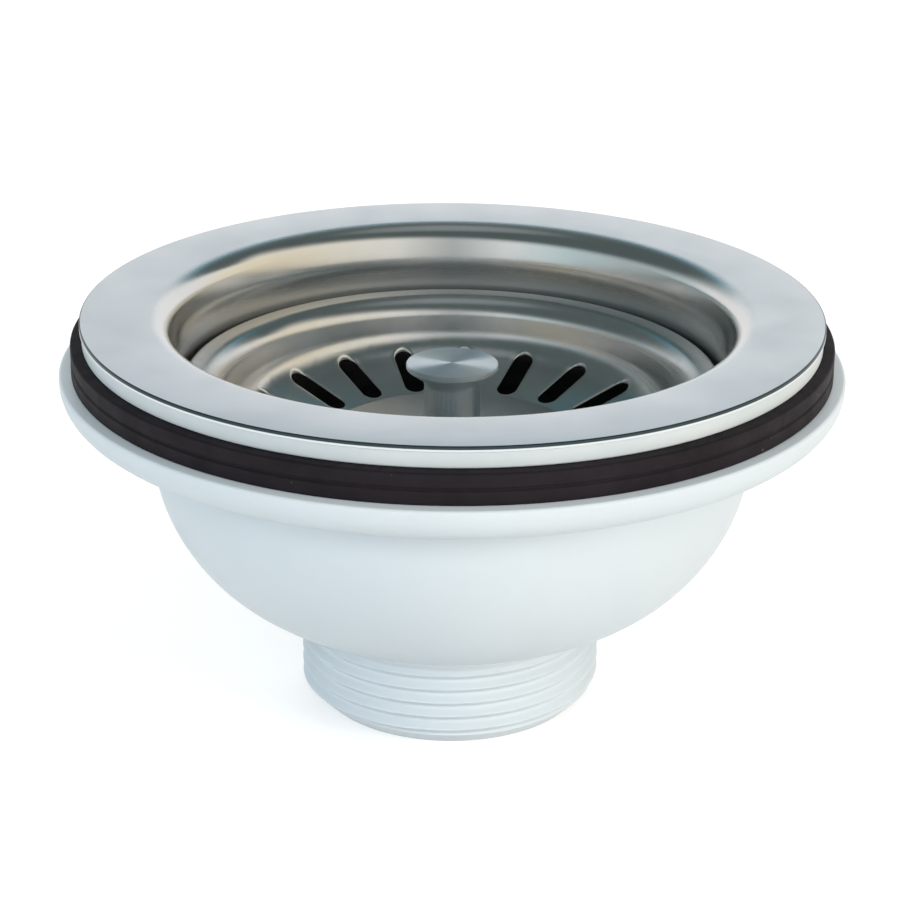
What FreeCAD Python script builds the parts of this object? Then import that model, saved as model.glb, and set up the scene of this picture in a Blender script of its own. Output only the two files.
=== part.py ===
"""Basket strainer waste for a kitchen sink: steel cup, lift-out basket and white outlet body.

Millimetres. The outlet stands on the plane z = 0 and the axis of every piece is the Z axis.
The basket is shown pushed down, with its stopper on the cup's seat.
"""
import FreeCAD
import Part
import Sketcher
import math
import os

# Driving dimensions
SIZES = {
    # Pressed steel flange and cup
    "flange_radius": 57.5,
    "flange_sheet": 0.8,
    "flange_roll": 3.6,
    "lead_spread": 1.4,
    "lead_fall": 6.2,
    "lead_bend": 12.0,
    "cup_radius": 42.7,
    "cup_depth": 25.7,
    "cup_bend": 6.0,
    "seat_fall": 2.1,
    "seat_bend": 1.2,
    "sump_radius": 22.0,
    "sump_depth": 7.4,
    "sump_bend": 2.0,
    "drain_ring": 14.4,
    "drain_hole": 2.9,
    "drain_count": 10,
    # Washer and gasket that hold the sink between them
    "washer_thickness": 2.6,
    "washer_inset": 0.3,
    "gasket_thickness": 4.8,
    "gasket_overhang": 1.5,
    "gasket_groove": 0.35,
    "ring_clearance": 0.3,
    # Moulded outlet body
    "body_rim_margin": 1.9,
    "body_flange": 5.5,
    "body_rim_top": 0.5,
    "body_rim_under": 4.6,
    "body_corner": 1.0,
    "bowl_clearance": 1.0,
    "bowl_wall": 2.6,
    "bowl_curve": 29.1,
    "bowl_centre": 44.2,
    "bowl_start": 5.7,
    "outlet_radius": 23.9,
    "outlet_wall": 4.9,
    "outlet_lead": 3.0,
    "boss_gap": 1.8,
    "boss_radius": 8.5,
    "boss_length": 15.4,
    "boss_lip": 1.5,
    "rib_thickness": 2.6,
    "rib_step": 2.4,
    "rib_depth": 16.0,
    "rib_root": 2.0,
    "rib_count": 4,
    # Bolt, its washer and the insert that it screws into
    "bolt_radius": 4.0,
    "bolt_length": 16.0,
    "bolt_head_radius": 7.5,
    "bolt_head_height": 5.2,
    "bolt_slot_width": 1.8,
    "bolt_slot_depth": 1.6,
    "bolt_washer_radius": 8.5,
    "bolt_washer_thickness": 1.0,
    "bolt_clearance": 0.25,
    "insert_radius": 6.0,
    "thread_clearance": 0.05,
    # Pressed strainer basket
    "basket_sheet": 0.6,
    "basket_clearance": 0.7,
    "rim_width": 5.9,
    "rim_turn": 2.4,
    "rim_bend": 1.0,
    "rim_roll": 3.5,
    "wall_height": 8.15,
    "wall_lean": 1.44,
    "wall_bend": 5.0,
    "floor_rise": 3.8,
    "platform_radius": 20.3,
    "platform_rise": 1.2,
    "platform_step": 1.6,
    "platform_bend": 0.7,
    "slot_width": 3.2,
    "slot_margin": 0.9,
    "slot_gap": 1.3,
    "slot_count": 20,
    "basket_turn": 3.6,
    # Knob and stem
    "knob_radius": 7.2,
    "knob_height": 12.4,
    "knob_edge": 0.8,
    "knob_flare": 2.0,
    "knob_neck": 1.5,
    "post_radius": 4.4,
    "stud_radius": 3.0,
    "stud_length": 7.4,
    "stud_room": 0.6,
    "shoulder_radius": 5.0,
    "shoulder_height": 2.5,
    "pin_radius": 2.5,
    "pin_length": 8.9,
    "pin_lead": 0.6,
    "pin_clearance": 0.1,
    "pin_room": 0.5,
    "stem_ring_section": 0.5,
    "stem_ring_grip": 0.05,
    "stem_ring_height": 4.0,
    # Rubber stopper and its backing plate
    "seal_gap": 0.3,
    "lip_overlap": 4.5,
    "lip_width": 1.0,
    "lip_depth": 1.4,
    "lip_height": 3.3,
    "stopper_height": 5.25,
    "stopper_web": 3.0,
    "stopper_inset": 1.3,
    "stopper_relief": 1.9,
    "plate_radius": 15.0,
    "plate_thickness": 1.0,
}
FULL_TURN = 360
START, END, CENTRE = 1, 2, 3
ZERO_EDGE = 1e-4
SHEET_NAME = "dims"

doc = FreeCAD.newDocument("basket_strainer_waste")


class Size:
    """A length in millimetres together with the spreadsheet expression that gives it."""

    def __init__(self, value, text):
        self.value = value
        self.text = text

    def __add__(self, other):
        return Size(self.value + other.value, f"({self.text} + {other.text})")

    def __sub__(self, other):
        return Size(self.value - other.value, f"({self.text} - {other.text})")

    def __mul__(self, other):
        return Size(self.value * other.value, f"({self.text} * {other.text})")

    def __truediv__(self, other):
        return Size(self.value / other.value, f"({self.text} / {other.text})")


class Sheet:
    """The driving dimensions, read as attributes; each one is bound to its own spreadsheet cell."""

    def __init__(self, sizes):
        cells = doc.addObject("Spreadsheet::Sheet", SHEET_NAME)
        for row, (name, value) in enumerate(sizes.items(), start=1):
            cells.set(f"A{row}", name)
            cells.set(f"B{row}", str(value))
            cells.setAlias(f"B{row}", name)
            setattr(self, name, Size(value, f"{SHEET_NAME}.{name}"))


dim = Sheet(SIZES)
doc.recompute()
NONE = Size(0.0, "0")
TWO = Size(2.0, "2")

# Heights, from the outlet's end upwards
cup_corner = dim.bowl_centre - dim.bowl_start
flange_top = cup_corner + dim.cup_depth
flange_under = flange_top - dim.flange_sheet
lead_foot = flange_top - dim.lead_fall
washer_under = flange_under - dim.washer_thickness
body_top = washer_under - dim.gasket_thickness
body_under = body_top - dim.body_flange
seat_edge = cup_corner - dim.seat_fall
sump_floor = seat_edge - dim.sump_depth
boss_top = sump_floor - dim.flange_sheet - dim.boss_gap
boss_under = boss_top - dim.boss_length
head_under = sump_floor + dim.bolt_washer_thickness
head_top = head_under + dim.bolt_head_height
seat_slope = dim.seat_fall / (dim.cup_radius - dim.sump_radius)
lip_under = seat_edge + seat_slope * dim.lip_overlap + dim.seal_gap
platform_under = lip_under + dim.stopper_height
platform_top = platform_under + dim.basket_sheet
floor_low = platform_top - dim.platform_rise
floor_high = floor_low + dim.floor_rise
rim_top = floor_high + dim.wall_height
plate_top = platform_under - dim.stopper_web
plate_under = plate_top - dim.plate_thickness
shoulder_under = plate_under - dim.shoulder_height
pin_end = shoulder_under - dim.pin_length

# Radii that pieces share
lead_radius = dim.cup_radius + dim.lead_spread
ring_bore = lead_radius + dim.flange_roll + dim.ring_clearance
gasket_radius = dim.flange_radius + dim.gasket_overhang
bowl_inner = dim.cup_radius + dim.flange_sheet + dim.bowl_clearance
bowl_outer = bowl_inner + dim.bowl_wall
bowl_axis = bowl_outer - dim.bowl_curve
outlet_bore = dim.outlet_radius - dim.outlet_wall
bolt_hole = dim.bolt_radius + dim.bolt_clearance
stem_hole = dim.stud_radius + dim.thread_clearance
socket_radius = dim.pin_radius + dim.pin_clearance
ring_outer = socket_radius - dim.stem_ring_grip
groove_radius = ring_outer - dim.stem_ring_section * TWO


def new_body(label):
    """Start a named body for one physical piece."""
    body = doc.addObject("PartDesign::Body", label)
    body.Label = label
    return body


def origin_feature(body, role):
    """Return the body's own origin plane or axis with this role."""
    return next(item for item in body.Origin.OriginFeatures if item.Role == role)


def new_sketch(body, role):
    """Start a sketch on one of the body's origin planes."""
    sketch = body.newObject("Sketcher::SketchObject", f"{body.Label}_sketch")
    sketch.AttachmentSupport = [(origin_feature(body, role), "")]
    sketch.MapMode = "FlatFace"
    return sketch


def bind(sketch, constraint, size):
    """Add a dimension to the sketch and tie it to the spreadsheet."""
    index = sketch.addConstraint(constraint)
    sketch.setExpression(f"Constraints[{index}]", size.text)


def fix_point(sketch, segment, corner, across=None, up=None):
    """Dimension a segment's end point from the sketch's origin."""
    if across is not None and across.value == 0:
        sketch.addConstraint(Sketcher.Constraint("PointOnObject", segment, corner, -2))
    elif across is not None:
        bind(sketch, Sketcher.Constraint("DistanceX", -1, START, segment, corner, across.value), across)
    if up is not None and up.value == 0:
        sketch.addConstraint(Sketcher.Constraint("PointOnObject", segment, corner, -1))
    elif up is not None:
        bind(sketch, Sketcher.Constraint("DistanceY", -1, START, segment, corner, up.value), up)


def add_polygon(sketch, points):
    """Draw a closed outline through fully dimensioned corners."""
    places = [FreeCAD.Vector(across.value, up.value, 0) for across, up in points]
    for start, end in zip(places, places[1:] + places[:1]):
        sketch.addGeometry(Part.LineSegment(start, end))
    for segment, (across, up) in enumerate(points):
        following = (segment + 1) % len(points)
        sketch.addConstraint(Sketcher.Constraint("Coincident", segment, END, following, START))
        fix_point(sketch, segment, START, across, up)


def finish(body, feature):
    """Make the feature the body's result and bring the document up to date."""
    body.Tip = feature
    doc.recompute()
    return feature


def revolve(body, points):
    """Turn a closed outline of (radius, height) corners about the Z axis."""
    sketch = new_sketch(body, "XZ_Plane")
    add_polygon(sketch, points)
    return revolve_sketch(body, sketch)


def revolve_sketch(body, sketch):
    """Turn a finished sketch about the Z axis."""
    turned = body.newObject("PartDesign::Revolution", f"{body.Label}_turned")
    turned.Profile = sketch
    turned.ReferenceAxis = (sketch, ["V_Axis"])
    turned.Angle = FULL_TURN
    return finish(body, turned)


def round_ring(body, across, up, radius):
    """Round the circular edge at this radius and height of the body."""
    base = body.Tip
    names = []
    for number, edge in enumerate(base.Shape.Edges, start=1):
        if not isinstance(edge.Curve, Part.Circle):
            continue
        near_radius = abs(edge.Curve.Radius - across.value) < ZERO_EDGE
        near_height = abs(edge.Curve.Center.z - up.value) < ZERO_EDGE
        if near_radius and near_height:
            names.append(f"Edge{number}")
    rounded = body.newObject("PartDesign::Fillet", f"{body.Label}_bend")
    rounded.Base = (base, names)
    rounded.Radius = radius.value
    rounded.setExpression("Radius", radius.text)
    return finish(body, rounded)


def cut_through(body, sketch):
    """Cut a sketch on the XY plane through the whole height of the body."""
    cut = body.newObject("PartDesign::Pocket", f"{body.Label}_cut")
    cut.Profile = sketch
    cut.Type = "ThroughAll"
    cut.Midplane = True
    return finish(body, cut)


def repeat_round(body, feature, count):
    """Repeat a feature evenly about the Z axis."""
    pattern = body.newObject("PartDesign::PolarPattern", f"{body.Label}_pattern")
    pattern.Originals = [feature]
    pattern.Axis = (origin_feature(body, "Z_Axis"), [""])
    pattern.Angle = FULL_TURN
    pattern.Occurrences = int(count.value)
    pattern.setExpression("Occurrences", count.text)
    return finish(body, pattern)


def strainer_flange():
    """Steel sheet: flat flange, rolled edge and lead-in, cup wall, sloping seat and a sump with drain holes."""
    body = new_body("strainer_flange")
    skin = dim.flange_sheet
    wall_out = dim.cup_radius + skin
    sump_out = dim.sump_radius + skin
    revolve(body, [
        (dim.flange_radius, flange_top),
        (lead_radius, flange_top),
        (dim.cup_radius, lead_foot),
        (dim.cup_radius, cup_corner),
        (dim.sump_radius, seat_edge),
        (dim.sump_radius, sump_floor),
        (bolt_hole, sump_floor),
        (bolt_hole, sump_floor - skin),
        (sump_out, sump_floor - skin),
        (sump_out, seat_edge - skin),
        (wall_out, cup_corner - skin),
        (wall_out, lead_foot),
        (lead_radius + skin, flange_under),
        (dim.flange_radius, flange_under),
    ])
    round_ring(body, lead_radius, flange_top, dim.flange_roll)
    round_ring(body, lead_radius + skin, flange_under, dim.flange_roll - skin)
    round_ring(body, dim.cup_radius, lead_foot, dim.lead_bend)
    round_ring(body, wall_out, lead_foot, dim.lead_bend - skin)
    round_ring(body, dim.cup_radius, cup_corner, dim.cup_bend)
    round_ring(body, wall_out, cup_corner - skin, dim.cup_bend + skin)
    round_ring(body, dim.sump_radius, seat_edge, dim.seat_bend + skin)
    round_ring(body, sump_out, seat_edge - skin, dim.seat_bend)
    round_ring(body, dim.sump_radius, sump_floor, dim.sump_bend)
    round_ring(body, sump_out, sump_floor - skin, dim.sump_bend + skin)
    hole = new_sketch(body, "XY_Plane")
    hole.addGeometry(Part.Circle(FreeCAD.Vector(0, dim.drain_ring.value, 0), FreeCAD.Vector(0, 0, 1),
                                 dim.drain_hole.value))
    fix_point(hole, 0, CENTRE, NONE, dim.drain_ring)
    bind(hole, Sketcher.Constraint("Radius", 0, dim.drain_hole.value), dim.drain_hole)
    repeat_round(body, cut_through(body, hole), dim.drain_count)
    return body


def flange_washer():
    """Flat white washer under the steel flange."""
    body = new_body("flange_washer")
    outer = dim.flange_radius - dim.washer_inset
    revolve(body, [(ring_bore, washer_under), (outer, washer_under), (outer, flange_under),
                   (ring_bore, flange_under)])
    return body


def rubber_gasket():
    """Thick rubber ring with a shallow parting groove round its outer face."""
    body = new_body("rubber_gasket")
    middle = body_top + dim.gasket_thickness / TWO
    revolve(body, [
        (ring_bore, body_top),
        (gasket_radius, body_top),
        (gasket_radius, middle - dim.gasket_groove),
        (gasket_radius - dim.gasket_groove, middle),
        (gasket_radius, middle + dim.gasket_groove),
        (gasket_radius, washer_under),
        (ring_bore, washer_under),
    ])
    return body


def waste_body():
    """Moulded body: rounded flange, bowl and outlet with a lead-in."""
    body = new_body("waste_body")
    rim = gasket_radius + dim.body_rim_margin
    sketch = new_sketch(body, "XZ_Plane")
    corners = [
        (bowl_inner, body_top),
        (rim, body_top),
        (rim, body_under),
        (bowl_outer, body_under),
        (bowl_outer, dim.bowl_centre),
    ]
    outlet = [
        (dim.outlet_radius, dim.outlet_lead),
        (dim.outlet_radius - dim.outlet_lead, NONE),
        (outlet_bore, NONE),
    ]
    inner_curve = dim.bowl_curve - dim.bowl_wall
    neck_out = bowl_height(dim.outlet_radius, dim.bowl_curve)
    neck_in = bowl_height(outlet_bore, inner_curve)
    chain = [place(*corner) for corner in corners]
    foot = [FreeCAD.Vector(dim.outlet_radius.value, neck_out, 0)] + [place(*corner) for corner in outlet]
    foot.append(FreeCAD.Vector(outlet_bore.value, neck_in, 0))
    start_in = place(bowl_inner, dim.bowl_centre)
    lines = list(zip(chain, chain[1:])) + list(zip(foot, foot[1:])) + [(start_in, chain[0])]
    for start, end in lines:
        sketch.addGeometry(Part.LineSegment(start, end))
    for segment, corner in enumerate(corners):
        fix_point(sketch, *((segment, START) if segment < len(corners) - 1 else (segment - 1, END)), *corner)
    first_foot = len(corners) - 1
    for step, corner in enumerate(outlet):
        fix_point(sketch, first_foot + step, END, *corner)
    fix_point(sketch, first_foot, START, dim.outlet_radius)
    fix_point(sketch, first_foot + len(outlet), END, outlet_bore)
    last_line = len(lines) - 1
    fix_point(sketch, last_line, START, bowl_inner, dim.bowl_centre)
    for segment in range(len(lines) - 1):
        if segment != first_foot - 1 and segment != last_line - 1:
            sketch.addConstraint(Sketcher.Constraint("Coincident", segment, END, segment + 1, START))
    sketch.addConstraint(Sketcher.Constraint("Coincident", last_line, END, 0, START))
    add_bowl_arc(sketch, dim.bowl_curve, neck_out, dim.outlet_radius, first_foot, START, first_foot - 1, END)
    add_bowl_arc(sketch, inner_curve, neck_in, outlet_bore, last_line - 1, END, last_line, START)
    revolve_sketch(body, sketch)
    round_ring(body, rim, body_under, dim.body_rim_under)
    round_ring(body, rim, body_top, dim.body_rim_top)
    round_ring(body, bowl_outer, body_under, dim.body_corner)
    return body


def bolt_bridge():
    """Boss for the insert on ribs that end on the outlet's bore: the part of the moulding that the bolt pulls on."""
    body = new_body("bolt_bridge")
    insert_hole = dim.insert_radius + dim.thread_clearance
    revolve(body, [
        (bolt_hole, boss_under),
        (dim.boss_radius, boss_under),
        (dim.boss_radius, boss_top),
        (insert_hole, boss_top),
        (insert_hole, boss_under + dim.boss_lip),
        (bolt_hole, boss_under + dim.boss_lip),
    ])
    rib_in = (dim.boss_radius + dim.insert_radius) / TWO
    rib_out = outlet_bore + dim.rib_root
    rib_top = boss_top - dim.rib_step
    rib_under = rib_top - dim.rib_depth
    rib_sketch = new_sketch(body, "XZ_Plane")
    add_polygon(rib_sketch, [(rib_in, rib_under), (rib_out, rib_under), (rib_out, rib_top), (rib_in, rib_top)])
    rib = body.newObject("PartDesign::Pad", "bolt_bridge_rib")
    rib.Profile = rib_sketch
    rib.Midplane = True
    rib.Length = dim.rib_thickness.value
    rib.setExpression("Length", dim.rib_thickness.text)
    repeat_round(body, finish(body, rib), dim.rib_count)
    trim_sketch = new_sketch(body, "XZ_Plane")
    trim_out = rib_out + dim.rib_root
    add_polygon(trim_sketch, [(outlet_bore, rib_under), (trim_out, rib_under), (trim_out, rib_top),
                              (outlet_bore, rib_top)])
    trim = body.newObject("PartDesign::Groove", "bolt_bridge_ends")
    trim.Profile = trim_sketch
    trim.ReferenceAxis = (trim_sketch, ["V_Axis"])
    trim.Angle = FULL_TURN
    finish(body, trim)
    return body


def place(across, up):
    """A sketch point from two sizes."""
    return FreeCAD.Vector(across.value, up.value, 0)


def bowl_height(across, radius):
    """Height at which the bowl's arc of this radius comes in to a distance from the axis."""
    reach = across.value - bowl_axis.value
    return dim.bowl_centre.value - math.sqrt(radius.value ** 2 - reach ** 2)


def add_bowl_arc(sketch, radius, neck, across, foot_line, foot_end, wall_line, wall_end):
    """Join a wall line to an outlet line with the bowl's arc, which is tangent to the wall."""
    centre = place(bowl_axis, dim.bowl_centre)
    circle = Part.Circle(centre, FreeCAD.Vector(0, 0, 1), radius.value)
    turn = math.atan2(neck - centre.y, across.value - centre.x)
    arc = sketch.addGeometry(Part.ArcOfCircle(circle, turn, 0))
    sketch.addConstraint(Sketcher.Constraint("Coincident", arc, START, foot_line, foot_end))
    sketch.addConstraint(Sketcher.Constraint("Tangent", arc, END, wall_line, wall_end))
    bind(sketch, Sketcher.Constraint("Radius", arc, radius.value), radius)


def threaded_insert():
    """Brass bush that the bolt screws into."""
    body = new_body("threaded_insert")
    bore = dim.bolt_radius + dim.thread_clearance
    foot = boss_under + dim.boss_lip
    revolve(body, [(bore, foot), (dim.insert_radius, foot), (dim.insert_radius, boss_top), (bore, boss_top)])
    return body


def fixing_bolt():
    """Bolt with a slotted head and a socket down its middle for the basket's pin."""
    body = new_body("fixing_bolt")
    tip = head_under - dim.bolt_length
    socket_floor = pin_end - dim.pin_room
    revolve(body, [
        (NONE, tip),
        (dim.bolt_radius, tip),
        (dim.bolt_radius, head_under),
        (dim.bolt_head_radius, head_under),
        (dim.bolt_head_radius, head_top),
        (socket_radius, head_top),
        (socket_radius, socket_floor),
        (NONE, socket_floor),
    ])
    slot = new_sketch(body, "XZ_Plane")
    slot_out = dim.bolt_head_radius + dim.bolt_slot_width
    slot_floor = head_top - dim.bolt_slot_depth
    slot_roof = head_top + dim.bolt_slot_depth
    add_polygon(slot, [(NONE, slot_floor), (slot_out, slot_floor), (slot_out, slot_roof), (NONE, slot_roof)])
    cut = body.newObject("PartDesign::Pocket", "fixing_bolt_slot")
    cut.Profile = slot
    cut.Midplane = True
    cut.Length = dim.bolt_slot_width.value
    cut.setExpression("Length", dim.bolt_slot_width.text)
    repeat_round(body, finish(body, cut), TWO)
    return body


def bolt_washer():
    """Sealing washer between the bolt's head and the sump's floor."""
    body = new_body("bolt_washer")
    outer = dim.bolt_washer_radius
    revolve(body, [(bolt_hole, sump_floor), (outer, sump_floor), (outer, head_under), (bolt_hole, head_under)])
    return body


def basket():
    """Pressed strainer: rolled and turned-down rim, leaning wall, sloping slotted floor and a raised platform."""
    body = new_body("basket")
    skin = dim.basket_sheet
    rim = dim.cup_radius - dim.basket_clearance
    wall_top = rim - dim.rim_width
    wall_foot = wall_top - dim.wall_lean
    floor_in = dim.platform_radius + dim.platform_step
    rim_foot = rim_top - dim.rim_turn
    revolve(body, [
        (rim, rim_foot),
        (rim, rim_top),
        (wall_top, rim_top),
        (wall_foot, floor_high),
        (floor_in, floor_low),
        (dim.platform_radius, platform_top),
        (stem_hole, platform_top),
        (stem_hole, platform_under),
        (dim.platform_radius, platform_under),
        (floor_in, floor_low - skin),
        (wall_foot + skin, floor_high - skin),
        (wall_top + skin, rim_top - skin),
        (rim - skin, rim_top - skin),
        (rim - skin, rim_foot),
    ])
    round_ring(body, rim, rim_top, dim.rim_bend)
    round_ring(body, wall_top, rim_top, dim.rim_roll)
    round_ring(body, rim - skin, rim_top - skin, dim.rim_bend - skin)
    round_ring(body, wall_top + skin, rim_top - skin, dim.rim_roll - skin)
    round_ring(body, wall_foot, floor_high, dim.wall_bend)
    round_ring(body, wall_foot + skin, floor_high - skin, dim.wall_bend + skin)
    round_ring(body, floor_in, floor_low, dim.platform_bend)
    round_ring(body, floor_in, floor_low - skin, dim.platform_bend + skin)
    round_ring(body, dim.platform_radius, platform_top, dim.platform_bend + skin)
    round_ring(body, dim.platform_radius, platform_under, dim.platform_bend)
    slot = slot_sketch(body, floor_in + dim.slot_gap, wall_foot - dim.slot_margin)
    repeat_round(body, cut_through(body, slot), dim.slot_count)
    body.Placement.Rotation = FreeCAD.Rotation(FreeCAD.Vector(0, 0, 1), -dim.basket_turn.value)
    return body


def slot_sketch(body, slot_in, slot_out):
    """One radial slot with round ends between two radii, along the sketch's vertical axis."""
    sketch = new_sketch(body, "XY_Plane")
    half = dim.slot_width / TWO
    far = slot_out - half
    near = slot_in + half
    upward = FreeCAD.Vector(0, 0, 1)
    far_circle = Part.Circle(place(NONE, far), upward, half.value)
    near_circle = Part.Circle(place(NONE, near), upward, half.value)
    sketch.addGeometry(Part.ArcOfCircle(far_circle, 0, math.pi))
    sketch.addGeometry(Part.LineSegment(place(NONE - half, far), place(NONE - half, near)))
    sketch.addGeometry(Part.ArcOfCircle(near_circle, math.pi, 2 * math.pi))
    sketch.addGeometry(Part.LineSegment(place(half, near), place(half, far)))
    for segment, following in ((0, 1), (1, 2), (2, 3), (3, 0)):
        sketch.addConstraint(Sketcher.Constraint("Tangent", segment, END, following, START))
    sketch.addConstraint(Sketcher.Constraint("Equal", 0, 2))
    fix_point(sketch, 0, CENTRE, NONE, far)
    fix_point(sketch, 2, CENTRE, NONE, near)
    bind(sketch, Sketcher.Constraint("Radius", 0, half.value), half)
    return sketch


def basket_knob():
    """Turned knob: flat top, flared underside and a post with a tapped hole."""
    body = new_body("basket_knob")
    knob_top = platform_top + dim.knob_height
    edge_under = knob_top - dim.knob_edge
    neck = edge_under - dim.knob_flare
    hole_top = platform_top + dim.stud_length + dim.stud_room
    revolve(body, [
        (stem_hole, platform_top),
        (dim.post_radius, platform_top),
        (dim.post_radius, neck),
        (dim.knob_radius, edge_under),
        (dim.knob_radius, knob_top),
        (NONE, knob_top),
        (NONE, hole_top),
        (stem_hole, hole_top),
    ])
    round_ring(body, dim.post_radius, neck, dim.knob_neck)
    return body


def basket_stem():
    """Stud, clamping shoulder and a pin with a lead-in and a groove for the rubber ring."""
    body = new_body("basket_stem")
    half_groove = dim.stem_ring_section + dim.stem_ring_grip
    groove = pin_end + dim.stem_ring_height
    stud_top = platform_top + dim.stud_length
    revolve(body, [
        (NONE, pin_end),
        (dim.pin_radius - dim.pin_lead, pin_end),
        (dim.pin_radius, pin_end + dim.pin_lead),
        (dim.pin_radius, groove - half_groove),
        (groove_radius, groove - half_groove),
        (groove_radius, groove + half_groove),
        (dim.pin_radius, groove + half_groove),
        (dim.pin_radius, shoulder_under),
        (dim.shoulder_radius, shoulder_under),
        (dim.shoulder_radius, plate_under),
        (dim.stud_radius, plate_under),
        (dim.stud_radius, stud_top),
        (NONE, stud_top),
    ])
    return body


def stem_ring():
    """Rubber ring of round section in the pin's groove."""
    ring = doc.addObject("Part::Torus", "stem_ring")
    ring.Label = "stem_ring"
    middle = ring_outer - dim.stem_ring_section
    ring.Radius1 = middle.value
    ring.setExpression("Radius1", middle.text)
    ring.Radius2 = dim.stem_ring_section.value
    ring.setExpression("Radius2", dim.stem_ring_section.text)
    ring.Placement.Base = FreeCAD.Vector(0, 0, (pin_end + dim.stem_ring_height).value)
    return ring


def stopper_seal():
    """Rubber stopper: thick web under the platform and a lip that closes on the cup's seat."""
    body = new_body("stopper_seal")
    pad = dim.platform_radius - dim.stopper_inset
    lip = dim.sump_radius + dim.lip_overlap
    shelf = platform_under - dim.stopper_relief
    lip_in = lip - dim.lip_width
    revolve(body, [
        (stem_hole, plate_top),
        (dim.plate_radius, plate_top),
        (lip_in - dim.lip_depth, lip_under + dim.lip_depth),
        (lip_in, lip_under),
        (lip, lip_under),
        (lip, lip_under + dim.lip_height),
        (pad, shelf),
        (pad, platform_under),
        (stem_hole, platform_under),
    ])
    return body


def seal_plate():
    """Flat backing plate under the stopper."""
    body = new_body("seal_plate")
    outer = dim.plate_radius
    revolve(body, [(stem_hole, plate_under), (outer, plate_under), (outer, plate_top), (stem_hole, plate_top)])
    return body


pieces = [
    strainer_flange(),
    flange_washer(),
    rubber_gasket(),
    waste_body(),
    bolt_bridge(),
    threaded_insert(),
    fixing_bolt(),
    bolt_washer(),
    basket(),
    basket_knob(),
    basket_stem(),
    stem_ring(),
    stopper_seal(),
    seal_plate(),
]
doc.recompute()

for item in doc.Objects:
    if "Invalid" in item.State or "Error" in item.State:
        raise RuntimeError(f"{item.Label} did not build: {item.State}")
for piece in pieces:
    if piece.Shape.isNull() or not piece.Shape.isValid():
        raise RuntimeError(f"{piece.Label} has no valid shape")

os.makedirs("parts", exist_ok=True)
for piece in pieces:
    piece.Shape.exportStep(f"parts/{piece.Label}.step")
    print(piece.Label, len(piece.Shape.Solids), round(piece.Shape.Volume, 1))
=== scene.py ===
"""Looks of the basket strainer waste: turned and pressed surfaces, finishes, studio light and camera."""
import bmesh
import bpy
import numpy as np
from mathutils import Euler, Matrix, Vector

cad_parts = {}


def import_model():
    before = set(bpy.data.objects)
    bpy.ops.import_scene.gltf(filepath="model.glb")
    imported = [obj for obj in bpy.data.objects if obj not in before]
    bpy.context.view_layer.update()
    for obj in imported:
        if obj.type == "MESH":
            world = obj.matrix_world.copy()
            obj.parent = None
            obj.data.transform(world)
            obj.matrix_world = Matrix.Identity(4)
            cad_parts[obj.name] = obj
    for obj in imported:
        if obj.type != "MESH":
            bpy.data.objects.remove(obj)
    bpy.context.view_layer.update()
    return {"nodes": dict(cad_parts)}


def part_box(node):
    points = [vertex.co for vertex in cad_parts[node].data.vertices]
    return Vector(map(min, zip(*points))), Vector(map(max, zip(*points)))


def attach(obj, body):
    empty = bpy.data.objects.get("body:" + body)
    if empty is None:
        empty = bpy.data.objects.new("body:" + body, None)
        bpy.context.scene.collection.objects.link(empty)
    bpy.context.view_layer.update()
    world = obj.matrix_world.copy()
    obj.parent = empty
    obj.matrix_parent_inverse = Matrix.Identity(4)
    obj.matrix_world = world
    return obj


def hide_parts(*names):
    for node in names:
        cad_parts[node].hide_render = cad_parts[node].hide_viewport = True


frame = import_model()

# Metres in a millimetre; the sizes below are in millimetres
MM = 0.001

# Steel flange and cup
FLANGE_SHEET = 0.8
FLANGE_ROLL = 3.6
LEAD_SPREAD = 1.4
LEAD_FALL = 6.2
LEAD_BEND = 12.0
FLANGE_EDGE = 0.2
CUP_RADIUS = 42.7
CUP_DEPTH = 25.7
CUP_BEND = 6.0
SEAT_FALL = 2.1
SEAT_BEND = 1.2
SUMP_RADIUS = 22.0
SUMP_DEPTH = 7.4
SUMP_BEND = 2.0
BOLT_HOLE = 4.25
DRAIN_RING = 14.4
DRAIN_HOLE = 2.9
DRAIN_COUNT = 10
DRAIN_EDGE = 0.25
SUMP_LAND = 0.2
BOLT_LAND = 1.6

# Washer and gasket
RING_BORE = 48.0
SOFT_EDGE = 0.35
GASKET_GROOVE = 0.35
GROOVE_EDGE = 0.2

# Moulded body
BOWL_INNER = 44.5
BOWL_WALL = 2.6
BOWL_CURVE = 29.1
BOWL_CENTRE = 44.2
BODY_FLANGE = 5.5
BODY_RIM_TOP = 0.5
BODY_RIM_UNDER = 4.6
BODY_CORNER = 1.0
OUTLET_RADIUS = 23.9
OUTLET_BORE = 19.0
OUTLET_LEAD = 3.0
THREAD_PITCH = 2.309
THREAD_DEPTH = 1.05
THREAD_TOP = 14.2
THREAD_FADE = 1.6
THREAD_POWER = 0.8

# Boss and ribs of the bridge
BOSS_RADIUS = 8.5
BOSS_LIP = 1.5
INSERT_HOLE = 6.05
BOSS_UNDER = 11.0
BOSS_TOP = 26.4
RIB_COUNT = 4
RIB_THICKNESS = 2.6
RIB_UNDER = 8.0
RIB_TOP = 24.0
RIB_IN = 7.25
RIB_OUT = 18.95
RIB_EDGE = 0.4

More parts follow.
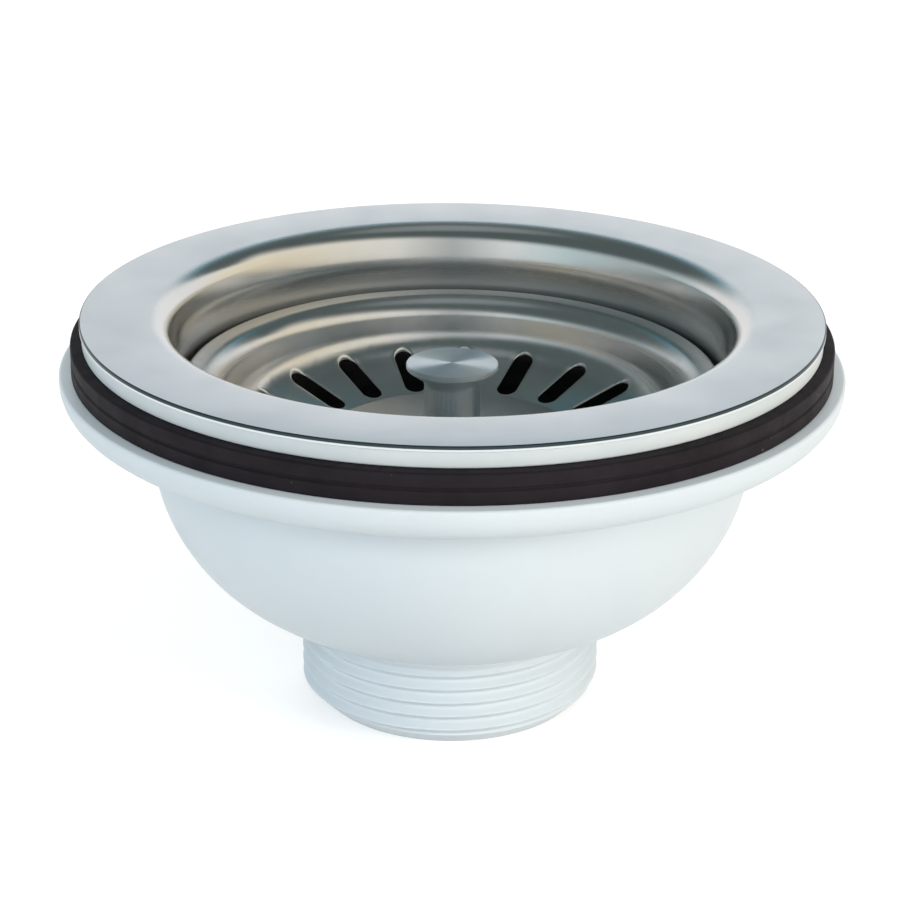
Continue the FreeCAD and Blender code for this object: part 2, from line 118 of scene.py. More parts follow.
# Pressed basket
BASKET_SHEET = 0.6
RIM_RADIUS = 42.0
RIM_WIDTH = 5.9
RIM_TURN = 2.4
RIM_BEND = 1.0
RIM_ROLL = 3.5
RIM_EDGE = 0.25
WALL_HEIGHT = 8.15
WALL_LEAN = 1.44
WALL_BEND = 5.0
FLOOR_RISE = 3.8
PLATFORM_RADIUS = 20.3
PLATFORM_RISE = 1.2
PLATFORM_STEP = 1.6
PLATFORM_BEND = 0.7
STEM_HOLE = 3.05
SLOT_COUNT = 20
SLOT_WIDTH = 3.2
SLOT_GAP = 1.3
SLOT_MARGIN = 0.9
WEB_BEYOND = 0.7
WEB_BEFORE = 0.6
BASKET_TURN = np.radians(3.6)

# Knob
KNOB_EDGE = 0.8
KNOB_FLARE = 2.0
KNOB_NECK = 1.5
KNOB_SOFT = 0.25
POST_RADIUS = 4.4
POST_EDGE = 0.15
STUD_HOLE_DEPTH = 8.0

# Where the steel's finishes and its painted shade change: depths below the flange's top, and half widths of
# the soft borders
EDGE_LINE = 0.5
BRUSHED_DEPTH = 7.5
UNDER_SHADE_DEPTH = 22.0
RING_BLEND = 0.9
EDGE_SHADE_BLEND = 0.04
LINE_BLEND = 0.05
BRUSHED_BLEND = 2.5
UNDER_SHADE_BLEND = 1.5
KNOB_BLEND = 0.2

# Fineness of the surfaces
AROUND = 288
ARC_STEPS = 9
EDGE_STEPS = 5
WEB_STEPS = 6
BOWL_STEPS = 48
THREAD_STEPS = 90
LEAD_STEPS = 20
BOSS_AROUND = 96
TINY = 1e-5
WELD = 2e-6
SHARP_ANGLE = np.radians(38)


def extent(node):
    """Lowest height, highest height and least outer radius of a CAD node, in millimetres."""
    low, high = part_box(node)
    return low.z / MM, high.z / MM, min(high.x, high.y, -low.x, -low.y) / MM


def rounded(corners, radii, closed=False):
    """Outline with rounded corners.

    A corner with side directions a and b and radius R becomes an arc whose centre lies on their bisector
    at R / sin(half the angle); its radius vector swings evenly from one tangent point to the other.
    """
    p = np.asarray(corners, float)
    r = np.broadcast_to(np.asarray(radii, float), len(p))
    a = np.roll(p, 1, 0) - p
    b = np.roll(p, -1, 0) - p
    a = a / np.linalg.norm(a, axis=1, keepdims=True)
    b = b / np.linalg.norm(b, axis=1, keepdims=True)
    half = np.clip(0.5 * np.arccos(np.clip((a * b).sum(1), -1, 1)), TINY, np.pi / 2 - TINY)
    bisector = a + b
    bisector = bisector / np.maximum(np.linalg.norm(bisector, axis=1, keepdims=True), TINY)
    centre = p + bisector * (r / np.sin(half))[:, None]
    start = p + a * (r / np.tan(half))[:, None] - centre
    end = p + b * (r / np.tan(half))[:, None] - centre
    sweep = (np.pi - 2 * half)[:, None, None]
    step = np.linspace(0, 1, ARC_STEPS)[None, :, None]
    arc = np.sin((1 - step) * sweep) * start[:, None] + np.sin(step * sweep) * end[:, None]
    points = np.where(r[:, None, None] > 0, centre[:, None] + arc / np.sin(sweep), p[:, None])
    flat = points.reshape(-1, 2)
    follower = np.roll(flat, -1, 0)
    keep = np.linalg.norm(follower - flat, axis=1) > TINY
    keep[-1] = keep[-1] or not closed
    return flat[keep]


def quads(rows, columns, close_rows, close_columns):
    """Corner numbers of the quads of a grid, closed on itself along either direction."""
    row = np.arange(rows if close_rows else rows - 1)
    column = np.arange(columns if close_columns else columns - 1)
    i, j = np.meshgrid(row, column, indexing="ij")
    down, across = (i + 1) % rows, (j + 1) % columns
    faces = np.stack([i * columns + j, down * columns + j, down * columns + across, i * columns + across], -1)
    return faces.reshape(-1, 4)


def turned(outline, closed=True, around=AROUND, start=0.0):
    """Surface of revolution: each (radius, height) point is carried round the Z axis.

    The angle u runs clockwise from +Y, so a point lies at (r sin u, r cos u, z).
    """
    u = start + 2 * np.pi * np.arange(around)[:, None] / around
    r, z = outline[None, :, 0], outline[None, :, 1]
    points = np.stack([r * np.sin(u), r * np.cos(u), z + 0 * u], -1)
    return points.reshape(-1, 3), quads(around, len(outline), True, closed)


def sector_border(count, inner, outer, across, along):
    """Loop round one of count equal sectors of a ring: outer arc, right side, inner arc, left side."""
    half = np.pi / count
    u = np.concatenate([
        np.linspace(-half, half, across, endpoint=False),
        np.full(along, half),
        np.linspace(half, -half, across, endpoint=False),
        np.full(along, -half),
    ])
    r = np.concatenate([
        np.full(across, outer),
        np.linspace(outer, inner, along, endpoint=False),
        np.full(across, inner),
        np.linspace(inner, outer, along, endpoint=False),
    ])
    return np.stack([r * np.sin(u), r * np.cos(u)], -1)


def hole_loop(near, far, radius, across, along, cap):
    """Loop round a hole with round ends: far cap, right side, near cap, left side.

    The bearing turns clockwise and the circle's centre slides between far and near along the sides.
    """
    bearing = np.concatenate([
        np.linspace(-cap, cap, across, endpoint=False),
        np.linspace(cap, np.pi - cap, along, endpoint=False),
        np.linspace(np.pi - cap, np.pi + cap, across, endpoint=False),
        np.linspace(np.pi + cap, 2 * np.pi - cap, along, endpoint=False),
    ])
    centre = np.concatenate([
        np.full(across, far),
        np.linspace(far, near, along, endpoint=False),
        np.full(across, near),
        np.linspace(near, far, along, endpoint=False),
    ])
    return np.stack([radius * np.sin(bearing), centre + radius * np.cos(bearing)], -1)


def pierced_ring(count, border, hole, radius, edge, top, under, turn=0.0):
    """Sheet ring with one hole per sector.

    Rings of points run from the sector's border over the top to the hole, round a half-circle edge
    through the sheet, and back under it. Heights come from the top and under profiles at each radius.
    """
    ease = np.linspace(0, 1, WEB_STEPS)
    alpha = np.linspace(np.pi / 2, -np.pi / 2, EDGE_STEPS + 2)[1:-1]
    lip = hole(radius + edge)
    web = (1 - ease)[:, None, None] * border + ease[:, None, None] * lip
    bead = np.stack([hole(radius + edge * (1 - np.cos(angle))) for angle in alpha])
    plan = np.concatenate([web, bead, web[::-1]])
    level = np.concatenate([np.ones(WEB_STEPS), 0.5 + 0.5 * np.sin(alpha), np.zeros(WEB_STEPS)])[:, None]
    r = np.linalg.norm(plan, axis=2)
    high = np.interp(r, top[:, 0], top[:, 1])
    low = np.interp(r, under[:, 0], under[:, 1])
    z = low + level * (high - low)
    bearing = np.arctan2(plan[..., 0], plan[..., 1])
    u = bearing[None] + turn + 2 * np.pi * np.arange(count)[:, None, None] / count
    points = np.stack([r * np.sin(u), r * np.cos(u), np.broadcast_to(z, u.shape)], -1)
    rings, loop = r.shape
    one = quads(rings, loop, False, True)
    faces = one[None] + (np.arange(count) * rings * loop)[:, None, None]
    return points.reshape(-1, 3), faces.reshape(-1, 4)


def strip_beyond(top, under, limit):
    """Open outline of the sheet outside a radius: out along the top and back along the underside."""
    start = [[limit, np.interp(limit, top[:, 0], top[:, 1])]]
    end = [[limit, np.interp(limit, under[:, 0], under[:, 1])]]
    return np.concatenate([start, top[top[:, 0] > limit], under[under[:, 0] > limit][::-1], end])


def strip_within(top, under, limit):
    """Open outline of the sheet inside a radius: in along the underside and out along the top."""
    start = [[limit, np.interp(limit, under[:, 0], under[:, 1])]]
    end = [[limit, np.interp(limit, top[:, 0], top[:, 1])]]
    return np.concatenate([start, under[under[:, 0] < limit][::-1], top[top[:, 0] < limit], end])


def bar(section, start, end):
    """Closed bar: a section in (Y, Z) carried along X, with its ends drawn in to their middles."""
    x = np.array([start, start, end, end])[:, None]
    middle = section.mean(0)
    scale = np.array([0.0, 1.0, 1.0, 0.0])[:, None, None]
    yz = middle + scale * (section[None] - middle)
    points = np.concatenate([np.broadcast_to(x[:, :, None], yz.shape[:2] + (1,)), yz], -1)
    return points.reshape(-1, 3), quads(len(x), len(section), False, True)


def spun(shape, angle):
    """A surface turned about the Z axis."""
    points, faces = shape
    c, s = np.cos(angle), np.sin(angle)
    return points @ np.array([[c, s, 0], [-s, c, 0], [0, 0, 1]]), faces


def make_piece(name, shapes, material, body, node):
    """Weld the surfaces into one mesh, face it outwards and set it on its CAD body."""
    offset = np.cumsum([0] + [len(points) for points, _ in shapes[:-1]])
    points = np.concatenate([points for points, _ in shapes]) * MM
    faces = np.concatenate([faces + shift for (_, faces), shift in zip(shapes, offset)])
    mesh = bpy.data.meshes.new(name)
    mesh.from_pydata(points.tolist(), [], faces.tolist())
    work = bmesh.new()
    work.from_mesh(mesh)
    bmesh.ops.remove_doubles(work, verts=work.verts, dist=WELD)
    bmesh.ops.recalc_face_normals(work, faces=work.faces)
    work.to_mesh(mesh)
    work.free()
    mesh.shade_smooth()
    mesh.set_sharp_from_angle(angle=SHARP_ANGLE)
    mesh.materials.append(material)
    piece = bpy.data.objects.new(name, mesh)
    bpy.context.scene.collection.objects.link(piece)
    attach(piece, body)
    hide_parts(node)


# Node helpers
def add_node(tree, kind, sockets=None, **settings):
    """Place a node, set its properties, and set or link its inputs by name or number."""
    node = tree.nodes.new(kind)
    for key, value in settings.items():
        setattr(node, key, value)
    for key, value in (sockets or {}).items():
        if isinstance(value, bpy.types.NodeSocket):
            tree.links.new(value, node.inputs[key])
        else:
            node.inputs[key].default_value = value
    return node


def add_ramp(tree, factor, stops):
    """Colour ramp through the given stops of position and colour."""
    node = add_node(tree, "ShaderNodeValToRGB", {"Fac": factor})
    elements = node.color_ramp.elements
    for _ in stops[2:]:
        elements.new(0.5)
    for element, (position, colour) in zip(elements, stops):
        element.position = position
        element.color = (*colour, 1.0)
    return node.outputs["Color"]


def fade(tree, value, start, end):
    """Smooth step from 0 at start to 1 at end."""
    node = add_node(tree, "ShaderNodeMapRange", {"Value": value, "From Min": start, "From Max": end},
                    interpolation_type="SMOOTHSTEP")
    return node.outputs["Result"]


def calculate(tree, operation, *values):
    """Result of a Math node on the given values."""
    return add_node(tree, "ShaderNodeMath", dict(enumerate(values)), operation=operation).outputs[0]


def opaque(colour):
    """A socket as it is, or a written colour with full alpha."""
    return colour if isinstance(colour, bpy.types.NodeSocket) else (*colour, 1.0)


def mix_colours(tree, factor, first, second):
    """Colour that goes from first to second as the factor goes from 0 to 1."""
    node = add_node(tree, "ShaderNodeMix", {"Factor": factor, 6: opaque(first), 7: opaque(second)},
                    data_type="RGBA")
    return node.outputs[2]


def axis_distance(tree, vector):
    """Distance of a place from the Z axis."""
    flat = add_node(tree, "ShaderNodeVectorMath", {0: vector, 1: (1.0, 1.0, 0.0)}, operation="MULTIPLY")
    return add_node(tree, "ShaderNodeVectorMath", {0: flat.outputs[0]}, operation="LENGTH").outputs["Value"]


def new_group(name, inputs, outputs):
    """Start a shader node group with named sockets."""
    tree = bpy.data.node_groups.new(name, "ShaderNodeTree")
    for label, kind, value in inputs:
        socket = tree.interface.new_socket(label, in_out="INPUT", socket_type=kind)
        if value is not None:
            socket.default_value = value
    for label, kind in outputs:
        tree.interface.new_socket(label, in_out="OUTPUT", socket_type=kind)
    return tree, tree.nodes.new("NodeGroupInput").outputs, tree.nodes.new("NodeGroupOutput").inputs


def cloud_group():
    """Soft cloudy variation: layered noise stretched between a low and a high value."""
    tree, given, result = new_group("cloudy_variation", [
        ("Vector", "NodeSocketVector", None), ("Scale", "NodeSocketFloat", 60.0),
        ("Low", "NodeSocketFloat", 0.0), ("High", "NodeSocketFloat", 1.0)], [("Value", "NodeSocketFloat")])
    noise = add_node(tree, "ShaderNodeTexNoise", {
        "Vector": given["Vector"], "Scale": given["Scale"], "Detail": 5.0, "Roughness": 0.6})
    stretched = add_node(tree, "ShaderNodeMapRange", {
        "Value": noise.outputs["Fac"], "From Min": 0.32, "From Max": 0.68,
        "To Min": given["Low"], "To Max": given["High"]})
    tree.links.new(stretched.outputs["Result"], result["Value"])
    return tree


def ring_group():
    """Mask of everything farther from the Z axis than a radius, with a soft border."""
    tree, given, result = new_group("outside_radius", [
        ("Vector", "NodeSocketVector", None), ("Radius", "NodeSocketFloat", 0.045),
        ("Blend", "NodeSocketFloat", 0.0005)], [("Mask", "NodeSocketFloat")])
    low = calculate(tree, "SUBTRACT", given["Radius"], given["Blend"])
    high = calculate(tree, "ADD", given["Radius"], given["Blend"])
    tree.links.new(fade(tree, axis_distance(tree, given["Vector"]), low, high), result["Mask"])
    return tree


def speck_group():
    """Sparse specks: the middles of a few randomly chosen cells of a cell pattern."""
    tree, given, result = new_group("sparse_specks", [
        ("Vector", "NodeSocketVector", None), ("Scale", "NodeSocketFloat", 400.0),
        ("Share", "NodeSocketFloat", 0.04), ("Size", "NodeSocketFloat", 0.22)], [("Mask", "NodeSocketFloat")])
    cells = add_node(tree, "ShaderNodeTexVoronoi", {"Vector": given["Vector"], "Scale": given["Scale"]})
    near = calculate(tree, "LESS_THAN", cells.outputs["Distance"], given["Size"])
    pick = add_node(tree, "ShaderNodeSeparateColor", {"Color": cells.outputs["Color"]})
    chosen = calculate(tree, "LESS_THAN", pick.outputs[0], given["Share"])
    tree.links.new(calculate(tree, "MULTIPLY", near, chosen), result["Mask"])
    return tree


def turning_group():
    """Fine circular tool lines: noise along the sum of the distance from the Z axis and the height."""
    tree, given, result = new_group("turning_lines", [
        ("Vector", "NodeSocketVector", None), ("Fineness", "NodeSocketFloat", 9000.0)],
        [("Height", "NodeSocketFloat")])
    axes = add_node(tree, "ShaderNodeSeparateXYZ", {0: given["Vector"]})
    place = calculate(tree, "ADD", axis_distance(tree, given["Vector"]), axes.outputs["Z"])
    wave = calculate(tree, "MULTIPLY", place, given["Fineness"])
    noise = add_node(tree, "ShaderNodeTexNoise", {"W": wave, "Scale": 1.0, "Detail": 2.0},
                     noise_dimensions="1D")
    tree.links.new(noise.outputs["Fac"], result["Height"])
    return tree


def level_group():
    """Mask of everything lower than a height, with a soft border."""
    tree, given, result = new_group("below_height", [
        ("Vector", "NodeSocketVector", None), ("Height", "NodeSocketFloat", 0.04),
        ("Blend", "NodeSocketFloat", 0.0005)], [("Mask", "NodeSocketFloat")])
    axes = add_node(tree, "ShaderNodeSeparateXYZ", {0: given["Vector"]})
    low = calculate(tree, "SUBTRACT", given["Height"], given["Blend"])
    high = calculate(tree, "ADD", given["Height"], given["Blend"])
    tree.links.new(fade(tree, axes.outputs["Z"], high, low), result["Mask"])
    return tree


CLOUDS = cloud_group()
RING = ring_group()
BELOW = level_group()
SPECKS = speck_group()
TURNING = turning_group()


class Finish:
    """A material with its Principled shader, Object coordinates and short ways to add nodes."""

    def __init__(self, name, **constants):
        self.material = bpy.data.materials.new(name)
        self.material.use_nodes = True
        self.tree = self.material.node_tree
        self.shader = self.tree.nodes["Principled BSDF"]
        self.place = add_node(self.tree, "ShaderNodeTexCoord").outputs["Object"]
        for label, value in constants.items():
            self.shader.inputs[label.replace("_", " ")].default_value = value

    def group(self, tree, output, **sockets):
        """An effect group placed on this material's coordinates."""
        node = add_node(self.tree, "ShaderNodeGroup", {"Vector": self.place, **sockets}, node_tree=tree)
        return node.outputs[output]

    def mix_colour(self, factor, first, second):
        """Colour that goes from first to second as the factor goes from 0 to 1."""
        return mix_colours(self.tree, factor, first, second)

    def mix_value(self, factor, first, second):
        """Number that goes from first to second as the factor goes from 0 to 1."""
        return add_node(self.tree, "ShaderNodeMix", {"Factor": factor, 2: first, 3: second}).outputs[0]

    def feed(self, label, socket):
        """Link a value into the shader."""
        self.tree.links.new(socket, self.shader.inputs[label])

    def bump(self, height, strength, distance):
        """Raise the surface by a height pattern."""
        node = add_node(self.tree, "ShaderNodeBump", {
            "Height": height, "Strength": strength, "Distance": distance})
        self.feed("Normal", node.outputs["Normal"])


def flange_finish():
    """One sheet: satin flat ring, painted shade on the upper part of the outer edge, polished roll, brushed
    wall, rougher steel below painted dark as shade under the basket.
    """
    finish = Finish("flange_steel")
    flat_start = CUP_RADIUS + LEAD_SPREAD + FLANGE_ROLL / 2
    ring = finish.group(RING, "Mask", Radius=flat_start * MM, Blend=RING_BLEND * MM)
    outside = finish.group(RING, "Mask", Radius=(flange_radius - FLANGE_EDGE) * MM, Blend=EDGE_SHADE_BLEND * MM)
    lower = finish.group(BELOW, "Mask", Height=(flange_top - EDGE_LINE) * MM, Blend=LINE_BLEND * MM)
    # Painted shade: a near-black line on the upper part of the flange's outer edge, above EDGE_LINE
    edge_shade = finish.mix_value(lower, outside, 0.0)
    brushed = finish.group(BELOW, "Mask", Height=(flange_top - BRUSHED_DEPTH) * MM, Blend=BRUSHED_BLEND * MM)
    # Painted shade: below this depth the steel is made dark, standing for the shade under the basket
    shade_below = finish.group(BELOW, "Mask", Height=(flange_top - UNDER_SHADE_DEPTH) * MM, Blend=UNDER_SHADE_BLEND * MM)
    marks = finish.group(CLOUDS, "Value", Scale=60.0)
    satin = finish.mix_colour(marks, (0.720, 0.752, 0.787), (0.750, 0.778, 0.812))
    polish = finish.mix_colour(marks, (0.65, 0.65, 0.64), (0.69, 0.69, 0.68))
    lower_wall = finish.mix_colour(brushed, polish, (0.52, 0.53, 0.53))
    # The dark grey here is painted shade under the basket
    wall = finish.mix_colour(shade_below, lower_wall, (0.16, 0.16, 0.16))
    sheet = finish.mix_colour(ring, wall, satin)
    # The near-black colour here is painted shade along the flange's outer edge
    finish.feed("Base Color", finish.mix_colour(edge_shade, sheet, (0.04, 0.06, 0.065)))
    finish.feed("Metallic", finish.mix_value(ring, 1.0, 0.84))
    satin_rough = finish.group(CLOUDS, "Value", Scale=110.0, Low=0.31, High=0.37)
    polish_rough = finish.group(CLOUDS, "Value", Scale=160.0, Low=0.15, High=0.20)
    brushed_rough = finish.mix_value(brushed, polish_rough, 0.36)
    wall_rough = finish.mix_value(shade_below, brushed_rough, 0.5)
    finish.feed("Roughness", finish.mix_value(ring, wall_rough, satin_rough))
    finish.bump(finish.group(CLOUDS, "Value", Scale=900.0), 0.05, 0.02 * MM)
    return finish.material


def pressed_finish():
    """Polished pressed sheet with slight waviness from forming."""
    finish = Finish("basket_steel", Metallic=1.0)
    marks = finish.group(CLOUDS, "Value", Scale=120.0)
    finish.feed("Base Color", finish.mix_colour(marks, (0.64, 0.64, 0.635), (0.70, 0.70, 0.695)))
    finish.feed("Roughness", finish.group(CLOUDS, "Value", Scale=220.0, Low=0.20, High=0.26))
    finish.bump(finish.group(CLOUDS, "Value", Scale=90.0), 0.12, 0.1 * MM)
    return finish.material


def knob_finish():
    """Polished flare and post under a faced top, with tool lines that draw the highlights out across them."""
    finish = Finish("knob_steel", Metallic=1.0, Anisotropic=0.98, Anisotropic_Rotation=0.25)
    marks = finish.group(CLOUDS, "Value", Scale=200.0)
    finish.feed("Base Color", finish.mix_colour(marks, (0.66, 0.73, 0.78), (0.71, 0.78, 0.83)))
    post = finish.group(BELOW, "Mask", Height=(knob_top - KNOB_EDGE) * MM, Blend=KNOB_BLEND * MM)
    top_rough = finish.group(CLOUDS, "Value", Scale=300.0, Low=0.42, High=0.48)
    finish.feed("Roughness", finish.mix_value(post, top_rough, 0.29))
    tangent = add_node(finish.tree, "ShaderNodeTangent", direction_type="RADIAL", axis="Z")
    finish.feed("Tangent", tangent.outputs[0])
    finish.bump(finish.group(TURNING, "Height", Fineness=12000.0), 0.05, 0.02 * MM)
    return finish.material


def moulded_finish():
    """White moulded plastic, slightly cool, with faint flow marks and a soft gloss."""
    finish = Finish("white_plastic", IOR=1.45)
    marks = finish.group(CLOUDS, "Value", Scale=28.0)
    finish.feed("Base Color", finish.mix_colour(marks, (0.615, 0.685, 0.735), (0.645, 0.710, 0.757)))
    finish.feed("Roughness", finish.group(CLOUDS, "Value", Scale=180.0, Low=0.36, High=0.48))
    finish.bump(finish.group(CLOUDS, "Value", Scale=500.0), 0.05, 0.05 * MM)
    return finish.material


def washer_finish():
    """White sheet washer, matt."""
    finish = Finish("white_washer", IOR=1.45)
    marks = finish.group(CLOUDS, "Value", Scale=60.0)
    finish.feed("Base Color", finish.mix_colour(marks, (0.570, 0.635, 0.665), (0.630, 0.680, 0.705)))
    finish.feed("Roughness", finish.group(CLOUDS, "Value", Scale=300.0, Low=0.5, High=0.68))
    finish.bump(finish.group(CLOUDS, "Value", Scale=1200.0), 0.12, 0.05 * MM)
    return finish.material


def rubber_finish():
    """Black rubber, dull, with a few pale specks of dust."""
    finish = Finish("black_rubber", IOR=1.5, Specular_IOR_Level=0.22)
    marks = finish.group(CLOUDS, "Value", Scale=90.0)
    dust = finish.group(SPECKS, "Mask", Scale=1600.0, Share=0.006, Size=0.28)
    rubber = finish.mix_colour(marks, (0.0085, 0.006, 0.0085), (0.014, 0.0105, 0.014))
    finish.feed("Base Color", finish.mix_colour(dust, rubber, (0.10, 0.095, 0.095)))
    finish.feed("Roughness", finish.group(CLOUDS, "Value", Scale=260.0, Low=0.62, High=0.76))
    finish.bump(finish.group(CLOUDS, "Value", Scale=700.0), 0.2, 0.08 * MM)
    return finish.material


def turned_finish(name, dark, light):
    """Plain turned metal with tool lines."""
    finish = Finish(name, Metallic=1.0)
    marks = finish.group(CLOUDS, "Value", Scale=250.0)
    finish.feed("Base Color", finish.mix_colour(marks, dark, light))
    finish.feed("Roughness", finish.group(CLOUDS, "Value", Scale=350.0, Low=0.22, High=0.36))
    finish.bump(finish.group(TURNING, "Height", Fineness=9000.0), 0.12, 0.03 * MM)
    return finish.material


def nylon_finish():
    """Pale sealing washer."""
    finish = Finish("nylon", IOR=1.5)
    marks = finish.group(CLOUDS, "Value", Scale=200.0)
    finish.feed("Base Color", finish.mix_colour(marks, (0.66, 0.65, 0.60), (0.72, 0.71, 0.66)))
    finish.feed("Roughness", finish.group(CLOUDS, "Value", Scale=350.0, Low=0.4, High=0.55))
    return finish.material


# Heights and radii read from the frame
_, flange_top, flange_radius = extent("strainer_flange")
washer_low, washer_top, washer_radius = extent("flange_washer")
gasket_low, gasket_top, gasket_radius = extent("rubber_gasket")
_, body_top, body_radius = extent("waste_body")
_, rim_top, _ = extent("basket")
knob_low, knob_top, knob_radius = extent("basket_knob")


def flange_cup(material):
    """Pressed flange and cup: strips of revolution joined to a sump floor with drain holes."""
    skin = FLANGE_SHEET
    lead_radius = CUP_RADIUS + LEAD_SPREAD
    lead_foot = flange_top - LEAD_FALL
    cup_corner = flange_top - CUP_DEPTH
    seat_edge = cup_corner - SEAT_FALL
    sump_floor = seat_edge - SUMP_DEPTH
    top = rounded(
        [(BOLT_HOLE, sump_floor), (SUMP_RADIUS, sump_floor), (SUMP_RADIUS, seat_edge),
         (CUP_RADIUS, cup_corner), (CUP_RADIUS, lead_foot), (lead_radius, flange_top),
         (flange_radius, flange_top), (flange_radius, flange_top - skin / 2)],
        [0, SUMP_BEND, SEAT_BEND + skin, CUP_BEND, LEAD_BEND, FLANGE_ROLL, FLANGE_EDGE, 0])
    under = rounded(
        [(BOLT_HOLE, sump_floor - skin), (SUMP_RADIUS + skin, sump_floor - skin),
         (SUMP_RADIUS + skin, seat_edge - skin), (CUP_RADIUS + skin, cup_corner - skin),
         (CUP_RADIUS + skin, lead_foot), (lead_radius + skin, flange_top - skin),
         (flange_radius, flange_top - skin)],
        [0, SUMP_BEND + skin, SEAT_BEND, CUP_BEND + skin, LEAD_BEND - skin, FLANGE_ROLL - skin, 0])
    floor_out = SUMP_RADIUS - SUMP_BEND - SUMP_LAND
    floor_in = BOLT_HOLE + BOLT_LAND
    across = AROUND // DRAIN_COUNT
    along = across // 2
    border = sector_border(DRAIN_COUNT, floor_in, floor_out, across, along)
    start = -np.pi / DRAIN_COUNT

    def drain(radius):
        return hole_loop(DRAIN_RING, DRAIN_RING, radius, across, along, np.pi / 4)

    make_piece("flange_cup", [
        turned(strip_beyond(top, under, floor_out), False, across * DRAIN_COUNT, start),
        pierced_ring(DRAIN_COUNT, border, drain, DRAIN_HOLE, DRAIN_EDGE, top, under),
        turned(strip_within(top, under, floor_in), False, across * DRAIN_COUNT, start),
    ], material, "waste", "strainer_flange")


def basket(material):
    """Pressed basket: rim and wall, a slotted floor and a raised platform with the stem hole."""
    skin = BASKET_SHEET
    floor_high = rim_top - WALL_HEIGHT
    floor_low = floor_high - FLOOR_RISE
    platform = floor_low + PLATFORM_RISE
    wall_top = RIM_RADIUS - RIM_WIDTH
    wall_foot = wall_top - WALL_LEAN
    floor_in = PLATFORM_RADIUS + PLATFORM_STEP
    rim_foot = rim_top - RIM_TURN
    top = rounded(
        [(STEM_HOLE, platform), (PLATFORM_RADIUS, platform), (floor_in, floor_low),
         (wall_foot, floor_high), (wall_top, rim_top), (RIM_RADIUS, rim_top),
         (RIM_RADIUS, rim_foot), (RIM_RADIUS - skin / 2, rim_foot)],
        [0, PLATFORM_BEND + skin, PLATFORM_BEND, WALL_BEND, RIM_ROLL, RIM_BEND, RIM_EDGE, 0])
    under = rounded(
        [(STEM_HOLE, platform - skin), (PLATFORM_RADIUS, platform - skin), (floor_in, floor_low - skin),
         (wall_foot + skin, floor_high - skin), (wall_top + skin, rim_top - skin),
         (RIM_RADIUS - skin, rim_top - skin), (RIM_RADIUS - skin, rim_foot)],
        [0, PLATFORM_BEND, PLATFORM_BEND + skin, WALL_BEND + skin, RIM_ROLL - skin, RIM_BEND - skin,
         RIM_EDGE])
    slot_far = wall_foot - SLOT_MARGIN - SLOT_WIDTH / 2
    slot_near = floor_in + SLOT_GAP + SLOT_WIDTH / 2
    web_out = slot_far + SLOT_WIDTH / 2 + WEB_BEYOND
    web_in = slot_near - SLOT_WIDTH / 2 - WEB_BEFORE
    across = AROUND // SLOT_COUNT
    along = across
    border = sector_border(SLOT_COUNT, web_in, web_out, across, along)
    start = BASKET_TURN - np.pi / SLOT_COUNT

    def slot(radius):
        return hole_loop(slot_near, slot_far, radius, across, along, np.pi / 2)

    make_piece("slotted_basket", [
        turned(strip_beyond(top, under, web_out), False, across * SLOT_COUNT, start),
        pierced_ring(SLOT_COUNT, border, slot, SLOT_WIDTH / 2, skin / 2, top, under, BASKET_TURN),
        turned(strip_within(top, under, web_in), False, across * SLOT_COUNT, start),
    ], material, "lift_out_basket", "basket")


def knob(material):
    """Turned knob with a flat top, a thin edge, a flared underside and a post."""
    edge_under = knob_top - KNOB_EDGE
    neck = edge_under - KNOB_FLARE
    hole_top = knob_low + STUD_HOLE_DEPTH
    outline = rounded(
        [(STEM_HOLE, knob_low), (POST_RADIUS, knob_low), (POST_RADIUS, neck), (knob_radius, edge_under),
         (knob_radius, knob_top), (0, knob_top), (0, hole_top), (STEM_HOLE, hole_top)],
        [0, POST_EDGE, KNOB_NECK, KNOB_SOFT, KNOB_SOFT, 0, 0, 0], closed=True)
    make_piece("lift_knob", [turned(outline)], material, "lift_out_basket", "basket_knob")


def washer(material):
    """Flat white washer with softened edges."""
    outline = rounded(
        [(RING_BORE, washer_low), (washer_radius, washer_low),
         (washer_radius, washer_top), (RING_BORE, washer_top)],
        [0, SOFT_EDGE, SOFT_EDGE, 0], closed=True)
    make_piece("white_washer", [turned(outline)], material, "waste", "flange_washer")


def gasket(material):
    """Thick rubber ring with soft edges and a shallow parting groove."""
    middle = (gasket_low + gasket_top) / 2
    outline = rounded(
        [(RING_BORE, gasket_low), (gasket_radius, gasket_low), (gasket_radius, middle - GASKET_GROOVE),
         (gasket_radius - GASKET_GROOVE, middle), (gasket_radius, middle + GASKET_GROOVE),
         (gasket_radius, gasket_top), (RING_BORE, gasket_top)],
        [0, SOFT_EDGE, GROOVE_EDGE, GROOVE_EDGE, GROOVE_EDGE, SOFT_EDGE, 0], closed=True)
    make_piece("black_gasket", [turned(outline)], material, "waste", "rubber_gasket")


def outlet_thread(r, z, u):
    """Right-hand thread cut into the outlet.

    The groove is a raised cosine, to a power, of height over pitch plus clockwise turns. It fades out at
    the thread's top.
    """
    phase = z / THREAD_PITCH + u / (2 * np.pi)
    groove = (0.5 - 0.5 * np.cos(2 * np.pi * phase)) ** THREAD_POWER
    depth = THREAD_DEPTH * np.clip((THREAD_TOP - z) / THREAD_FADE, 0, 1)
    return np.minimum(r, OUTLET_RADIUS - depth * groove)


